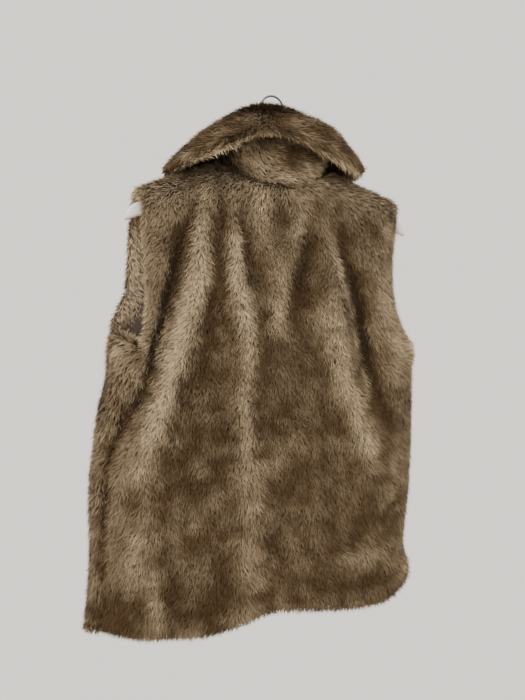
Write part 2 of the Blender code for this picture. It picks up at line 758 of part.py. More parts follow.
def collar_profile(point, normal, inward, turn, station):
    # The collar's middle surface above one point of the neckline, and its outward normals
    away = Vector((math.sin(turn), -math.cos(turn), 0.0))
    up = Vector((0.0, 0.0, 1.0))
    start = math.atan2(inward.dot(away), inward.dot(up))
    steps = collar_directions(station, start)
    spread = Vector((math.copysign(collar_value(station, "spread"), station), 0.0, 0.0))
    place = point + inward * SEAM_GAP
    places = [place]
    travelled = 0.0
    risen = FOOT_STEPS + STAND_STEPS
    for k, (angle, length) in enumerate(steps):
        along = away * math.sin(angle) + up * math.cos(angle)
        place = place + (along if k else inward) * length
        if k >= risen:
            travelled += length
        places.append(place + spread * travelled)
    angles = [steps[0][0]] + [(a[0] + b[0]) / 2 for a, b in zip(steps, steps[1:])] + [steps[-1][0]]
    outward = [away * math.cos(angle) - up * math.sin(angle) for angle in angles]
    outward[0] = normal
    outward[1] = (outward[1] + normal).normalized()
    return places, outward


def collar_grid():
    points, normals, stations = neckline()
    tangents = unit(np.gradient(points, axis=0))
    inward = unit(np.cross(tangents, normals))
    centre = points.mean(axis=0)
    flip = -np.sign(np.sum(inward * (points - centre), axis=1) - inward[:, 2])
    inward *= flip[:, None]
    inward[0] = inward[-1] = (0.0, 0.0, 1.0)
    turns = collar_turns(points, stations)
    middle, outward = [], []
    for k, station in enumerate(stations):
        base = Vector(points[k])
        if abs(station) > 2.0 - 1e-6:
            base.x += math.copysign(SEAM_GAP / 2, station)
        places, directions = collar_profile(
            base, Vector(normals[k]), Vector(inward[k]), turns[k], station
        )
        middle.append(places)
        outward.append(directions)
    return np.array(middle).transpose(1, 0, 2), np.array(outward).transpose(1, 0, 2), stations


def collar_turns(points, stations):
    # Which way each station faces in plan: between square to the neckline and evenly turned
    flow = np.gradient(points[:, :2], axis=0)
    square = np.unwrap(np.arctan2(flow[:, 1], flow[:, 0]))
    even = np.array(stations) * math.pi / 2
    turns = (square + even) / 2
    turns[0] = -math.pi
    turns[-1] = math.pi
    return turns


def collar_push(middle):
    # The fur rolls round the free edge and, less near the seam, round the two ends
    push = np.zeros_like(middle)
    push[-1] = unit(middle[-1] - middle[-2]) * EDGE_ROLL
    rows = len(middle)
    for r in range(rows):
        amount = EDGE_ROLL * 0.6 * ease((r - FOOT_STEPS - STAND_STEPS) / ROLL_STEPS)
        for column, inner in ((0, 1), (-1, -2)):
            away = middle[r, column] - middle[r, inner]
            push[r, column] += unit(away) * amount
    return push


def ramp(first, full, rows, length):
    # A depth that grows from its value at the seam to its full value over some rows
    return np.array([first + (full - first) * ease(r / length) for r in range(rows)])[:, None, None]


def make_collar(under_material, upper_material):
    middle, outward, _ = collar_grid()
    rows = len(middle)
    push = collar_push(middle)
    under = ramp(UNDER_AT_SEAM, UNDER_PILE, rows, FOOT_STEPS + 2)
    upper = ramp(UPPER_AT_SEAM, UPPER_PILE, rows, FOOT_STEPS + 1)
    half = SEAM_GAP / 2
    make_wall("under_collar", middle + outward * under, middle + outward * half, push, under_material)
    make_wall("upper_collar", middle - outward * upper, middle - outward * half, push, upper_material)


def hanger_top(x):
    # The upper edge of the hanger bows up to its middle, just under the shoulder seams
    return HANGER_APEX_Z - HANGER_SLOPE * abs(x) - HANGER_BOW * x * x


def hanger_section(x):
    # A rounded rectangle; past the shoulders its top curves down to the end
    top = hanger_top(x)
    bottom = top - HANGER_HEIGHT
    past = max(abs(x) - (HANGER_HALF - HANGER_END), 0.0) / HANGER_END
    top -= (HANGER_HEIGHT - HANGER_END_HEIGHT) * (1.0 - math.sqrt(1.0 - min(past, 1.0) ** 2))
    half = HANGER_THICKNESS / 2
    rounding = min(HANGER_ROUNDING, (top - bottom) * 0.45)
    corners = ((1, 1), (-1, 1), (-1, -1), (1, -1))
    points = []
    for index, (across, upward) in enumerate(corners):
        centre_z = top - rounding if upward > 0 else bottom + rounding
        for k in range(CORNER_STEPS + 1):
            angle = math.pi / 2 * (index + k / CORNER_STEPS)
            y = across * (half - rounding) + rounding * math.cos(angle)
            points.append((x, y, centre_z + rounding * math.sin(angle)))
    return points


def make_hanger_arms(material):
    straight = HANGER_HALF - HANGER_END
    half = [straight * k / (HANGER_STATIONS - 4) for k in range(HANGER_STATIONS - 3)]
    half += [straight + HANGER_END * math.sin(math.pi / 2 * k / 5) for k in range(1, 6)]
    xs = [-x for x in reversed(half[1:])] + half
    points = [point for x in xs for point in hanger_section(x)]
    count = 4 * (CORNER_STEPS + 1)
    faces = []
    for s in range(len(xs) - 1):
        for k in range(count):
            a = s * count + k
            b = s * count + (k + 1) % count
            faces.append((a, b, b + count, a + count))
    faces.append(tuple(range(count - 1, -1, -1)))
    faces.append(tuple(range((len(xs) - 1) * count, len(xs) * count)))
    make_object("hanger_arms", points, faces, material)


def hook_route():
    # Up the shank, out to the side and round over the peg to the point
    radius = HOOK_RADIUS
    centre_z = -HOOK_RADIUS + WIRE_RADIUS
    shank = [Vector((0.0, 0.0, hanger_top(0.0) + SEAM_GAP + k * 0.006)) for k in range(2)]
    shank.append(Vector((0.0, 0.0, HOOK_SHANK_TOP)))
    sweep = []
    for k in range(1, 6):
        t = k / 6
        start = Vector((0.0, 0.0, HOOK_SHANK_TOP))
        pull = Vector((0.0, 0.0, HOOK_SHANK_TOP + 0.012))
        bend_angle = math.radians(-38.0)
        end = Vector((radius * math.cos(bend_angle), 0.0, centre_z + radius * math.sin(bend_angle)))
        back = end - Vector((-math.sin(bend_angle), 0.0, math.cos(bend_angle))) * 0.012
        blend = start * (1 - t) ** 3 + pull * 3 * t * (1 - t) ** 2 + back * 3 * t**2 * (1 - t) + end * t**3
        sweep.append(blend)
    arc = []
    for k in range(19):
        angle = math.radians(-38.0 + (180.0 - HOOK_POINT_ANGLE + 38.0) * k / 18)
        arc.append(Vector((radius * math.cos(angle), 0.0, centre_z + radius * math.sin(angle))))
    return shank + sweep + arc


def make_hook(material):
    route = hook_route()
    curve = bpy.data.curves.new("hanger_hook", "CURVE")
    curve.dimensions = "3D"
    curve.bevel_depth = WIRE_RADIUS
    curve.bevel_resolution = 3
    curve.use_fill_caps = True
    spline = curve.splines.new("POLY")
    spline.points.add(len(route) - 1)
    for entry, place in zip(spline.points, route):
        entry.co = (*place, 1.0)
    curve.materials.append(material)
    item = bpy.data.objects.new("hanger_hook", curve)
    bpy.context.scene.collection.objects.link(item)
    return item


def main():
    clear_scene()
    fur = make_material("faux_fur", FUR_COLOUR, 0.9, 0.0)
    collar_fur = make_material("collar_fur", COLLAR_COLOUR, 0.9, 0.0)
    lining = make_material("lining_satin", LINING_COLOUR, 0.5, 0.0)
    paint = make_material("white_paint", PAINT_COLOUR, 0.4, 0.0)
    steel = make_material("hook_steel", STEEL_COLOUR, 0.35, 1.0)
    make_panel("back_panel", 1.0, False, fur)
    make_panel("front_left", -1.0, True, fur)
    make_panel("front_right", 1.0, True, fur)
    make_collar(collar_fur, collar_fur)
    make_lining("lining_back", 1.0, False, lining)
    make_lining("lining_front_left", -1.0, True, lining)
    make_lining("lining_front_right", 1.0, True, lining)
    make_hanger_arms(paint)
    make_hook(steel)


main()
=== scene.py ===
import math

import bmesh
import bpy
import numpy as np
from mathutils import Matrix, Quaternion, Vector, kdtree, noise
from mathutils.bvhtree import BVHTree


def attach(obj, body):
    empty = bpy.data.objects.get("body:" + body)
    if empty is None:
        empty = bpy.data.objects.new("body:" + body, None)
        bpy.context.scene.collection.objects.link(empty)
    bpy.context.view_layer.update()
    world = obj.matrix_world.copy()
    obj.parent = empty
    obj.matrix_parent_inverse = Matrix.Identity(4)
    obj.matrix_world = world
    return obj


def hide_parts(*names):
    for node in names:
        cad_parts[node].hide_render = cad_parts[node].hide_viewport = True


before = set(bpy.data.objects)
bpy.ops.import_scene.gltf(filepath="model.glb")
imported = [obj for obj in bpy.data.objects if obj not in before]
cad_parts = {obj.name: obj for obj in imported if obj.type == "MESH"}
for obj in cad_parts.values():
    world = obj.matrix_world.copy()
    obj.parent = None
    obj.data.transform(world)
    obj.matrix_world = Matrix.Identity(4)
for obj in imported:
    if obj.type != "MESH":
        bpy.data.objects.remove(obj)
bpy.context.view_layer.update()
print("frame loaded")

# Everything hangs from the hook, so the whole vest rides on the one body.
body = "root"
linings = ("lining_back", "lining_front_left", "lining_front_right")


def linearColour(hexText):
    # sRGB hex to the linear values that shaders take
    values = [int(hexText[k : k + 2], 16) / 255 for k in (1, 3, 5)]
    return (*(v / 12.92 if v <= 0.04045 else ((v + 0.055) / 1.055) ** 2.4 for v in values), 1.0)


def addNode(tree, kind, inputs=None, **settings):
    # One node with its settings; an input takes a value or another node's socket
    node = tree.nodes.new(kind)
    for name, value in settings.items():
        setattr(node, name, value)
    for key, value in (inputs or {}).items():
        if isinstance(value, bpy.types.NodeSocket):
            tree.links.new(value, node.inputs[key])
        else:
            node.inputs[key].default_value = value
    return node


def newMaterial(name, roughness, ior=1.5, metallic=0.0):
    material = bpy.data.materials.new(name)
    material.use_nodes = True
    tree = material.node_tree
    shader = tree.nodes["Principled BSDF"]
    shader.inputs["Roughness"].default_value = roughness
    shader.inputs["IOR"].default_value = ior
    shader.inputs["Metallic"].default_value = metallic
    return material, tree, shader


def mixColour(tree, factor, first, second):
    inputs = {0: factor, 6: first, 7: second}
    return addNode(tree, "ShaderNodeMix", inputs, data_type="RGBA", blend_type="MIX").outputs[2]


def doMath(tree, operation, *values):
    return addNode(tree, "ShaderNodeMath", dict(enumerate(values)), operation=operation).outputs[0]


def clamped(tree, value):
    return addNode(tree, "ShaderNodeClamp", {"Value": value}).outputs[0]


def carried(tree, name):
    # A value that the mesh carries into its material
    return addNode(tree, "ShaderNodeAttribute", attribute_name=name).outputs["Fac"]


def noiseTexture(tree, scale, detail, roughness=0.5):
    place = addNode(tree, "ShaderNodeTexCoord").outputs["Object"]
    inputs = {"Vector": place, "Scale": scale, "Detail": detail, "Roughness": roughness}
    return addNode(tree, "ShaderNodeTexNoise", inputs).outputs["Fac"]


def addBump(tree, shader, height, strength, distance):
    inputs = {"Height": height, "Strength": strength, "Distance": distance}
    bump = addNode(tree, "ShaderNodeBump", inputs)
    tree.links.new(bump.outputs[0], shader.inputs["Normal"])


# Modacrylic pile: dark at the root, paler at the tip, palest where a ridge opens it.
pileLook = {
    "root": "#2b1e10",
    "dark": "#3a2b18",
    "middle": "#5a452b",
    "light": "#ccb694",
    "roughness": 0.62,
    "sheen": 0.04,
    "specular": 0.15,
    "mottleSize": 0.022,
    "mottleDetail": (3.0, 0.6),
    "mottleShare": 0.9,
    "tintShare": 0.75,
    "darker": 0.42,
    "paleRise": 1.3,
    "paleTint": 1.6,
    "paleLeast": 0.08,
    "rootReach": 2.2,
    # parting: how strongly the painted crease shade takes whole strands to the root's colour
    "parting": 2.4,
}


def pileMaterial(name, look):
    material, tree, shader = newMaterial(name, look["roughness"])
    tint = carried(tree, "strandTint")
    along = carried(tree, "along")
    mottle = noiseTexture(tree, 1.0 / look["mottleSize"], *look["mottleDetail"])
    # Which of the two browns a strand takes comes from its own tint and a broad mottle
    byTint = doMath(tree, "MULTIPLY", tint, look["tintShare"])
    byPlace = doMath(tree, "MULTIPLY", mottle, look["mottleShare"])
    pick = doMath(tree, "SUBTRACT", doMath(tree, "ADD", byTint, byPlace), look["darker"])
    brown = mixColour(
        tree, clamped(tree, pick), linearColour(look["dark"]), linearColour(look["middle"])
    )
    # Tips turn pale where the pile is open, on some strands more than on others
    risen = doMath(tree, "POWER", along, look["paleRise"])
    pale = doMath(tree, "MULTIPLY", carried(tree, "opened"), risen)
    paler = doMath(tree, "ADD", doMath(tree, "MULTIPLY", tint, look["paleTint"]), look["paleLeast"])
    pale = clamped(tree, doMath(tree, "MULTIPLY", pale, paler))
    tipped = mixColour(tree, pale, brown, linearColour(look["light"]))
    # The root's dark colour shows at the foot of a strand, and all along it in a crease, where it is
    # painted shade.
    reach = doMath(tree, "MULTIPLY", along, look["rootReach"])
    above = doMath(tree, "MULTIPLY_ADD", carried(tree, "creaseShade"), -look["parting"], reach)
    rooted = mixColour(tree, clamped(tree, above), linearColour(look["root"]), tipped)
    tree.links.new(rooted, shader.inputs["Base Color"])
    shader.inputs["Sheen Weight"].default_value = look["sheen"]
    shader.inputs["Specular IOR Level"].default_value = look["specular"]
    return material


# Knitted backing seen down between the strands: dark, dull and slightly uneven.
backingLook = {
    "colour": "#4a3823",
    "shade": "#3a2b1c",
    "roughness": 0.9,
    "grain": (350.0, 4.0),
    "bump": (0.5, 0.001),
    "thickness": 0.0018,
}


def backingMaterial(name, look):
    material, tree, shader = newMaterial(name, look["roughness"])
    uneven = noiseTexture(tree, *look["grain"])
    shade = mixColour(tree, uneven, linearColour(look["colour"]), linearColour(look["shade"]))
    tree.links.new(shade, shader.inputs["Base Color"])
    addBump(tree, shader, uneven, *look["bump"])
    return material


# Polyester satin lining: fine weave and a soft, wide highlight.
liningLook = {
    "colour": "#5a4a40",
    "shade": "#463930",
    "roughness": 0.42,
    "mottle": (30.0, 3.0),
    "threadSize": 0.0007,
    "bump": (0.12, 0.0002),
    "anisotropic": 0.4,
    "sheen": 0.1,
}


def satinMaterial(name, look):
    material, tree, shader = newMaterial(name, look["roughness"])
    broad = noiseTexture(tree, *look["mottle"])
    colour = mixColour(tree, broad, linearColour(look["shade"]), linearColour(look["colour"]))
    tree.links.new(colour, shader.inputs["Base Color"])
    place = addNode(tree, "ShaderNodeTexCoord").outputs["Object"]
    # A wave of this texture is pi / (10 * scale) metres long
    scale = math.pi / look["threadSize"] / 10.0
    weft = addNode(
        tree, "ShaderNodeTexWave", {"Vector": place, "Scale": scale}, bands_direction="Z"
    ).outputs["Fac"]
    addBump(tree, shader, weft, *look["bump"])
    shader.inputs["Anisotropic"].default_value = look["anisotropic"]
    shader.inputs["Sheen Weight"].default_value = look["sheen"]
    return material


# How faces are told apart, by cosine: to one side of a piece, and nearly in one plane
sideShare = 0.3
samePlane = 0.9
# An edge is free when other pieces are farther off than the gap. Round the armholes the free
# rim is wider by some rings of faces. Heights are z and reaches are x, in metres.
freeEdgeGap = 0.0025
underarmHeight = -0.385
armholeReach = 0.150
armholeRings = 2
weldDistance = 1e-5
quadAngle = math.radians(60)


def weldedCopy(nodeName):
    # A CAD node's mesh as an editable copy, its split corners joined again
    mesh = bmesh.new()
    mesh.from_mesh(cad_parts[nodeName].data)
    bmesh.ops.remove_doubles(mesh, verts=mesh.verts, dist=weldDistance)
    mesh.normal_update()
    return mesh


def nodeTree(names):
    points, faces = [], []
    for name in names:
        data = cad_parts[name].data
        start = len(points)
        points.extend(v.co.copy() for v in data.vertices)
        faces.extend([start + k for k in p.vertices] for p in data.polygons)
    return BVHTree.FromPolygons(points, faces)


def sideOfFaces(mesh, within):
    # How squarely each face looks away from the pieces that lie within it
    facing = {}
    for face in mesh.faces:
        centre = face.calc_center_median()
        nearest = within.find_nearest(centre)[0]
        away = (centre - nearest).normalized()
        facing[face.index] = face.normal.dot(away)
    return facing


def freeRim(mesh, facing, others):
    # The inner half of the rim at free edges: it joins the outer half, far from other pieces
    first = {
        face.index for face in mesh.faces
        if facing[face.index] < sideShare
        and any(facing[near.index] > sideShare for edge in face.edges for near in edge.link_faces)
        and others.find_nearest(face.calc_center_median())[3] > freeEdgeGap
    }
    mesh.faces.ensure_lookup_table()
    rim = set(first)
    for index in first:
        face = mesh.faces[index]
        for edge in face.edges:
            for near in edge.link_faces:
                if facing[near.index] < sideShare and near.normal.dot(face.normal) > samePlane:
                    rim.add(near.index)
    for _ in range(armholeRings):
        rim |= {
            near.index
            for index in rim
            for vertex in mesh.faces[index].verts
            for near in vertex.link_faces
            if facing[near.index] < sideShare and near.calc_center_median().z > underarmHeight
            and min(abs(v.co.x) for v in near.verts) > armholeReach
        }
    return rim


def keepFaces(mesh, keep):
    # A copy that holds only the chosen faces
    copy = mesh.copy()
    copy.faces.ensure_lookup_table()
    gone = [f for f in copy.faces if not keep[f.index]]
    bmesh.ops.delete(copy, geom=gone, context="FACES")
    loose = [v for v in copy.verts if not v.link_faces]
    bmesh.ops.delete(copy, geom=loose, context="VERTS")
    return copy


def joinQuads(mesh):
    bmesh.ops.join_triangles(
        mesh, faces=mesh.faces, angle_face_threshold=quadAngle, angle_shape_threshold=quadAngle
    )


def addObject(name, data):
    item = bpy.data.objects.new(name, data)
    bpy.context.scene.collection.objects.link(item)
    return item


def meshObject(name, mesh, materials=()):
    data = bpy.data.meshes.new(name)
    mesh.to_mesh(data)
    mesh.free()
    item = addObject(name, data)
    for material in materials:
        data.materials.append(material)
    return item


def applyModifiers(item):
    graph = bpy.context.evaluated_depsgraph_get()
    data = bpy.data.meshes.new_from_object(item.evaluated_get(graph))
    item.modifiers.clear()
    old = item.data
    item.data = data
    bpy.data.meshes.remove(old)
    return item


def smoothShading(item):
    item.data.shade_smooth()
    return item


def makeShell(name, mesh, inner, thickness, material):
    # The cloth itself: the CAD piece's inner face, given the backing's real thickness
    shell = keepFaces(mesh, inner)
    joinQuads(shell)
    item = meshObject(name, shell, [material])
    solid = item.modifiers.new("thickness", "SOLIDIFY")
    solid.thickness = thickness
    solid.offset = -1.0
    solid.use_even_offset = False
    applyModifiers(item)
    return smoothShading(item)


def growthMesh(mesh, outer, rim):
    # The faces that carry the tips of the pile, made smooth enough to grow strands on.
    # The value "rim" tells how far round a free edge a point lies: 0 is outside, 1 inside.
    layer = mesh.verts.layers.float.new("rim")
    for vertex in mesh.verts:
        inRim = [face.index in rim for face in vertex.link_faces]
        onOuter = [outer[face.index] for face in vertex.link_faces]
        vertex[layer] = 0.0 if not any(inRim) else (0.5 if any(onOuter) else 1.0)
    growth = keepFaces(mesh, {index: value or index in rim for index, value in outer.items()})
    joinQuads(growth)
    item = meshObject("growth", growth)
    smooth = item.modifiers.new("smooth", "SUBSURF")
    smooth.levels = 1
    smooth.boundary_smooth = "PRESERVE_CORNERS"
    applyModifiers(item)
    return smoothShading(item)


def arrays(item):
    data = item.data
    points = np.zeros(len(data.vertices) * 3)
    normals = np.zeros(len(data.vertices) * 3)
    data.vertices.foreach_get("co", points)
    data.vertices.foreach_get("normal", normals)
    return points.reshape(-1, 3), normals.reshape(-1, 3)


def pointValues(item, name):
    values = np.zeros(len(item.data.vertices), np.float32)
    item.data.attributes[name].data.foreach_get("value", values)
    return values


def unitRows(vectors):
    return vectors / np.maximum(np.linalg.norm(vectors, axis=1, keepdims=True), 1e-9)


def ridgeHeight(points, normals, reach):
    # How far each point stands above the mean of its surroundings, in metres
    tree = kdtree.KDTree(len(points))
    for k, point in enumerate(points):
        tree.insert(point, k)
    tree.balance()
    heights = np.zeros(len(points))
    for k, point in enumerate(points):
        near = [index for _, index, _ in tree.find_range(point, reach)]
        heights[k] = np.dot(point - points[near].mean(axis=0), normals[k])
    return heights


# Pale streaks where the nap opens over a fold. The columns are x and z of a point of the
# streak on the back, its half width there, all in metres, and its strength.
streaks = {
    "left flank": (
        (-0.118, -0.155, 0.012, 0.40), (-0.127, -0.252, 0.017, 0.80), (-0.140, -0.320, 0.020, 0.95),
        (-0.162, -0.393, 0.020, 0.95), (-0.176, -0.437, 0.020, 0.85), (-0.195, -0.500, 0.018, 0.60),
        (-0.212, -0.555, 0.014, 0.40),
    ),
    "left foot": (
        (-0.200, -0.600, 0.010, 0.40), (-0.209, -0.660, 0.013, 0.70), (-0.219, -0.710, 0.010, 0.50),
    ),
    "left hem": (
        (-0.183, -0.700, 0.008, 0.30), (-0.180, -0.730, 0.010, 0.65), (-0.174, -0.765, 0.010, 0.50),
    ),
    "middle": (
        (-0.076, -0.210, 0.014, 0.40), (-0.073, -0.245, 0.015, 0.75), (-0.064, -0.300, 0.017, 0.85),
        (-0.052, -0.373, 0.008, 0.55), (-0.061, -0.458, 0.012, 0.35), (-0.044, -0.577, 0.016, 0.28),
        (-0.046, -0.640, 0.019, 0.28), (-0.050, -0.780, 0.017, 0.28),
    ),
    "below neck": ((-0.037, -0.150, 0.020, 0.55), (-0.037, -0.225, 0.018, 0.50)),
    "centre": ((-0.010, -0.245, 0.014, 0.50), (-0.006, -0.340, 0.016, 0.50)),
    "right of neck": ((0.028, -0.165, 0.014, 0.60), (0.026, -0.205, 0.012, 0.40)),
    "right line": (
        (0.075, -0.217, 0.006, 0.60), (0.094, -0.273, 0.006, 0.85), (0.113, -0.315, 0.006, 0.85),
        (0.120, -0.370, 0.006, 0.70), (0.137, -0.428, 0.007, 0.50),
    ),
    "right flank": (
        (0.067, -0.300, 0.016, 0.45), (0.070, -0.345, 0.020, 0.60), (0.093, -0.415, 0.016, 0.60),
        (0.105, -0.455, 0.018, 0.60), (0.134, -0.495, 0.020, 0.50), (0.155, -0.545, 0.010, 0.40),
    ),
    "left shoulder": (
        (-0.165, -0.120, 0.030, 0.20), (-0.168, -0.160, 0.026, 0.20), (-0.170, -0.200, 0.010, 0.10),
    ),
    "right edge": (
        (0.156, -0.235, 0.016, 0.15), (0.160, -0.290, 0.016, 0.28), (0.178, -0.345, 0.016, 0.28),
        (0.197, -0.385, 0.016, 0.20),
    ),
}

# Sharp creases, painted dark with the roots' colour as shade in the folds
paintedCreaseShade = {
    "left": (
        (-0.128, -0.165, 0.004, 0.30), (-0.140, -0.196, 0.004, 0.70), (-0.156, -0.253, 0.005, 0.95),
        (-0.168, -0.306, 0.005, 1.00), (-0.188, -0.393, 0.004, 1.00), (-0.209, -0.453, 0.004, 1.00),
        (-0.238, -0.503, 0.004, 0.90), (-0.250, -0.553, 0.004, 0.70), (-0.252, -0.640, 0.004, 0.50),
        (-0.254, -0.780, 0.004, 0.40),
    ),
    "right": (
        (0.092, -0.225, 0.007, 0.35), (0.110, -0.262, 0.007, 0.70), (0.123, -0.302, 0.006, 0.80),
        (0.131, -0.345, 0.005, 0.90), (0.139, -0.395, 0.005, 0.80), (0.155, -0.430, 0.005, 0.70),
        (0.178, -0.475, 0.006, 0.50),
    ),
    "middle": (
        (-0.066, -0.190, 0.006, 0.30), (-0.053, -0.240, 0.006, 0.45), (-0.046, -0.280, 0.006, 0.20),
    ),
    "right of middle": (
        (0.042, -0.215, 0.008, 0.40), (0.034, -0.250, 0.008, 0.45), (0.024, -0.300, 0.008, 0.40),
    ),
}

# The fronts have softer streaks of their own, and painted shade where their edges meet
frontStreaks = {
    "left chest": (
        (-0.140, -0.190, 0.016, 0.40), (-0.136, -0.300, 0.020, 0.60), (-0.112, -0.480, 0.020, 0.50),
        (-0.096, -0.760, 0.018, 0.35),
    ),
    "right chest": (
        (0.126, -0.190, 0.016, 0.40), (0.124, -0.300, 0.020, 0.60), (0.096, -0.480, 0.020, 0.50),
        (0.080, -0.760, 0.018, 0.35),
    ),
    "left side": (
        (-0.205, -0.400, 0.014, 0.30), (-0.215, -0.560, 0.016, 0.40), (-0.210, -0.720, 0.014, 0.30),
    ),
    "right side": (
        (0.180, -0.400, 0.014, 0.30), (0.190, -0.560, 0.016, 0.40), (0.185, -0.700, 0.014, 0.30),
    ),
}
frontPaintedCreaseShade = {
    "centre front": (
        (-0.004, -0.230, 0.004, 0.60), (-0.010, -0.450, 0.004, 0.70), (-0.019, -0.765, 0.004, 0.70),
    ),
}
# How far a streak fades out past each of its ends
streakEnd = 0.02


def streakStrength(points, table):
    # How strong the table's streaks are at each point; each fades out past its two ends
    total = np.zeros(len(points))
    z = points[:, 2]
    for rows in table.values():
        upwards = np.array(rows)[::-1]
        x, half, strength = (np.interp(z, upwards[:, 1], upwards[:, k]) for k in (0, 2, 3))
        below = np.clip((z - upwards[0, 1] + streakEnd) / streakEnd, 0, 1)
        above = np.clip((upwards[-1, 1] + streakEnd - z) / streakEnd, 0, 1)
        total += strength * below * above * np.exp(-(((points[:, 0] - x) / half) ** 2))
    return np.clip(total, 0, 1)


def noiseField(points, size, seed, across=1.0):
    # Smooth noise; "across" above 1 draws its patches out sideways
    stretch = np.array((1.0 / across, 1.0 / across, 1.0)) / size
    return np.array([noise.noise(Vector(p) + Vector((seed, 0, 0))) for p in points * stretch])


def fade(values, start, width):
    # 0 up to the start, and 1 from the width past it
    return np.clip((values - start) / width, 0.0, 1.0)


# How the pile grows, in metres. "perSquareCm" counts strands, "sizes" is the range of their
# scale and "leans" that of their turn. The three depths are how far the roots lie below the
# tips' face: on the outside, on a free edge and inside it. The rest are shares.
pileGrowth = {
    "width": 0.0011,
    "widest": 1.5,
    "length": 0.0118,
    "rise": 0.0078,
    "sizes": (0.72, 1.18),
    "leans": ((-0.22, -0.65, -0.38), (0.42, 0.65, 0.38)),
    "depths": (0.0080, 0.0045, 0.0020),
    "fringe": 0.30,
    "shoulderLift": 0.0045,
    "rimDense": 1.0,
    "rimCalm": 0.75,
    "swirlSize": 0.060,
    "swirl": 0.8,
    "clumpSize": 0.0060,
    "clumpPull": 0.50,
    "clumpOpen": 1.6,
    "clumpClosed": 0.5,
    "quickShare": 0.35,
    "perSquareCm": {"back": 73.0, "front": 34.0, "upperCollar": 62.0, "underCollar": 46.0},
}

# What opens the pile to its pale tips, and the painted shade and painted light in it. Sizes and heights
# are in metres, the rest are shares.
opening = {
    "ridgeReach": 0.020,
    "ridgeFull": 0.0016,
    # How far below zero a hollow takes the tips, partly painted shade in the folds
    "valley": -0.9,
    "rim": 0.10,
    "armhole": 0.40,
    # shoulder: painted light, paler tips on top of the shoulders against the shade that the collar casts
    # there
    "shoulder": 0.10,
    "hem": 0.22,
    "mottleSize": 0.028,
    "speckleSize": 0.009,
    "speckle": 0.25,
    "streakySize": 0.010,
    "streakyAcross": 3.5,
    "streakSize": 0.016,
    "streakLeast": 0.85,
    "streakUneven": 0.9,
}
# Where a zone starts and how wide it fades in, in metres; the hem and the lower half count down
zones = {"shoulder": (-0.180, 0.030), "hem": (0.705, 0.035), "lower": (0.42, 0.08)}
noiseSeeds = {"swirl": 3.0, "mottle": 9.0, "speckle": 15.0, "streaky": 21.0, "streak": 33.0}
# A point whose normal's y is less belongs to the back, and one whose rim is less to the outside
backSide = 0.2
outside = 0.25


def combed(points, normals, comb):
    # The comb's direction along the surface, with the small swirls of worn pile
    comb -= normals * np.sum(comb * normals, axis=1, keepdims=True)
    comb = unitRows(comb)
    swirl = pileGrowth["swirl"] * noiseField(points, pileGrowth["swirlSize"], noiseSeeds["swirl"])
    return unitRows(comb + np.cross(normals, comb) * swirl[:, None])


def layPile(item, plan):
    # Gives the growth mesh its comb, its pile depth and the mask of its open, pale places
    points, normals = arrays(item)
    z = points[:, 2]
    rim = pointValues(item, "rim")
    onRim = np.clip(2.0 * rim, 0.0, 1.0)
    onTop = fade(z, *zones["shoulder"]) * plan["isBody"]
    byArm = onRim * (z > underarmHeight) * plan["isBody"]
    byHem = fade(-z, *zones["hem"])
    low = fade(-z, *zones["lower"]) if plan["isBody"] else 1.0
    comb = combed(points, normals, plan["comb"](points, normals, rim))

    # A ridge opens the pile to pale tips; a hollow goes below zero and darkens them, partly the pile
    # closing there and partly painted shade
    raised = ridgeHeight(points, normals, opening["ridgeReach"]) / opening["ridgeFull"]
    opened = np.clip(raised, opening["valley"], 1.0) * plan["ridge"] + plan["open"]
    # Paler at free edges and armholes, painted light on the shoulders against the collar's shade, and
    # darker near the hem
    opened += (
        opening["rim"] * rim + opening["armhole"] * byArm
        + opening["shoulder"] * onTop - opening["hem"] * byHem
    )
    mottle = noiseField(points, opening["mottleSize"], noiseSeeds["mottle"])
    speckle = noiseField(points, opening["speckleSize"], noiseSeeds["speckle"])
    opened += plan["mottle"] * mottle + opening["speckle"] * speckle
    across = opening["streakyAcross"]
    sideways = noiseField(points, opening["streakySize"], noiseSeeds["streaky"], across)
    opened += plan["streaky"] * low * sideways
    # Painted shade: along the creases the strands take the root's dark colour and lose their pale tips
    creaseShade = np.zeros(len(points))
    if plan["isBody"]:
        onBack = normals[:, 1] < backSide
        backStreaks = streakStrength(points, streaks)
        streaked = np.where(onBack, backStreaks, streakStrength(points, frontStreaks))
        uneven = noiseField(points, opening["streakSize"], noiseSeeds["streak"])
        opened += streaked * (opening["streakLeast"] + opening["streakUneven"] * uneven)
        backCreaseShade = streakStrength(points, paintedCreaseShade)
        creaseShade = np.where(onBack, backCreaseShade, streakStrength(points, frontPaintedCreaseShade))

    depth = np.interp(rim, (0.0, 0.5, 1.0), pileGrowth["depths"])
    depth -= pileGrowth["shoulderLift"] * onTop * (rim < outside)
    for name, kind, values in (
        ("comb", "FLOAT_VECTOR", comb),
        ("depth", "FLOAT", depth),
        ("longer", "FLOAT", 1.0 + pileGrowth["fringe"] * (1.0 - np.abs(2.0 * rim - 1.0))),
        ("calm", "FLOAT", 1.0 - pileGrowth["rimCalm"] * onRim),
        ("dense", "FLOAT", 1.0 + pileGrowth["rimDense"] * byArm),
        ("opened", "FLOAT", np.clip(opened - creaseShade, 0.0, 1.0)),
        ("creaseShade", "FLOAT", creaseShade),
    ):
        attribute = item.data.attributes.new(name, kind, "POINT")
        channel = "vector" if kind == "FLOAT_VECTOR" else "value"
        attribute.data.foreach_set(channel, values.astype(np.float32).ravel())


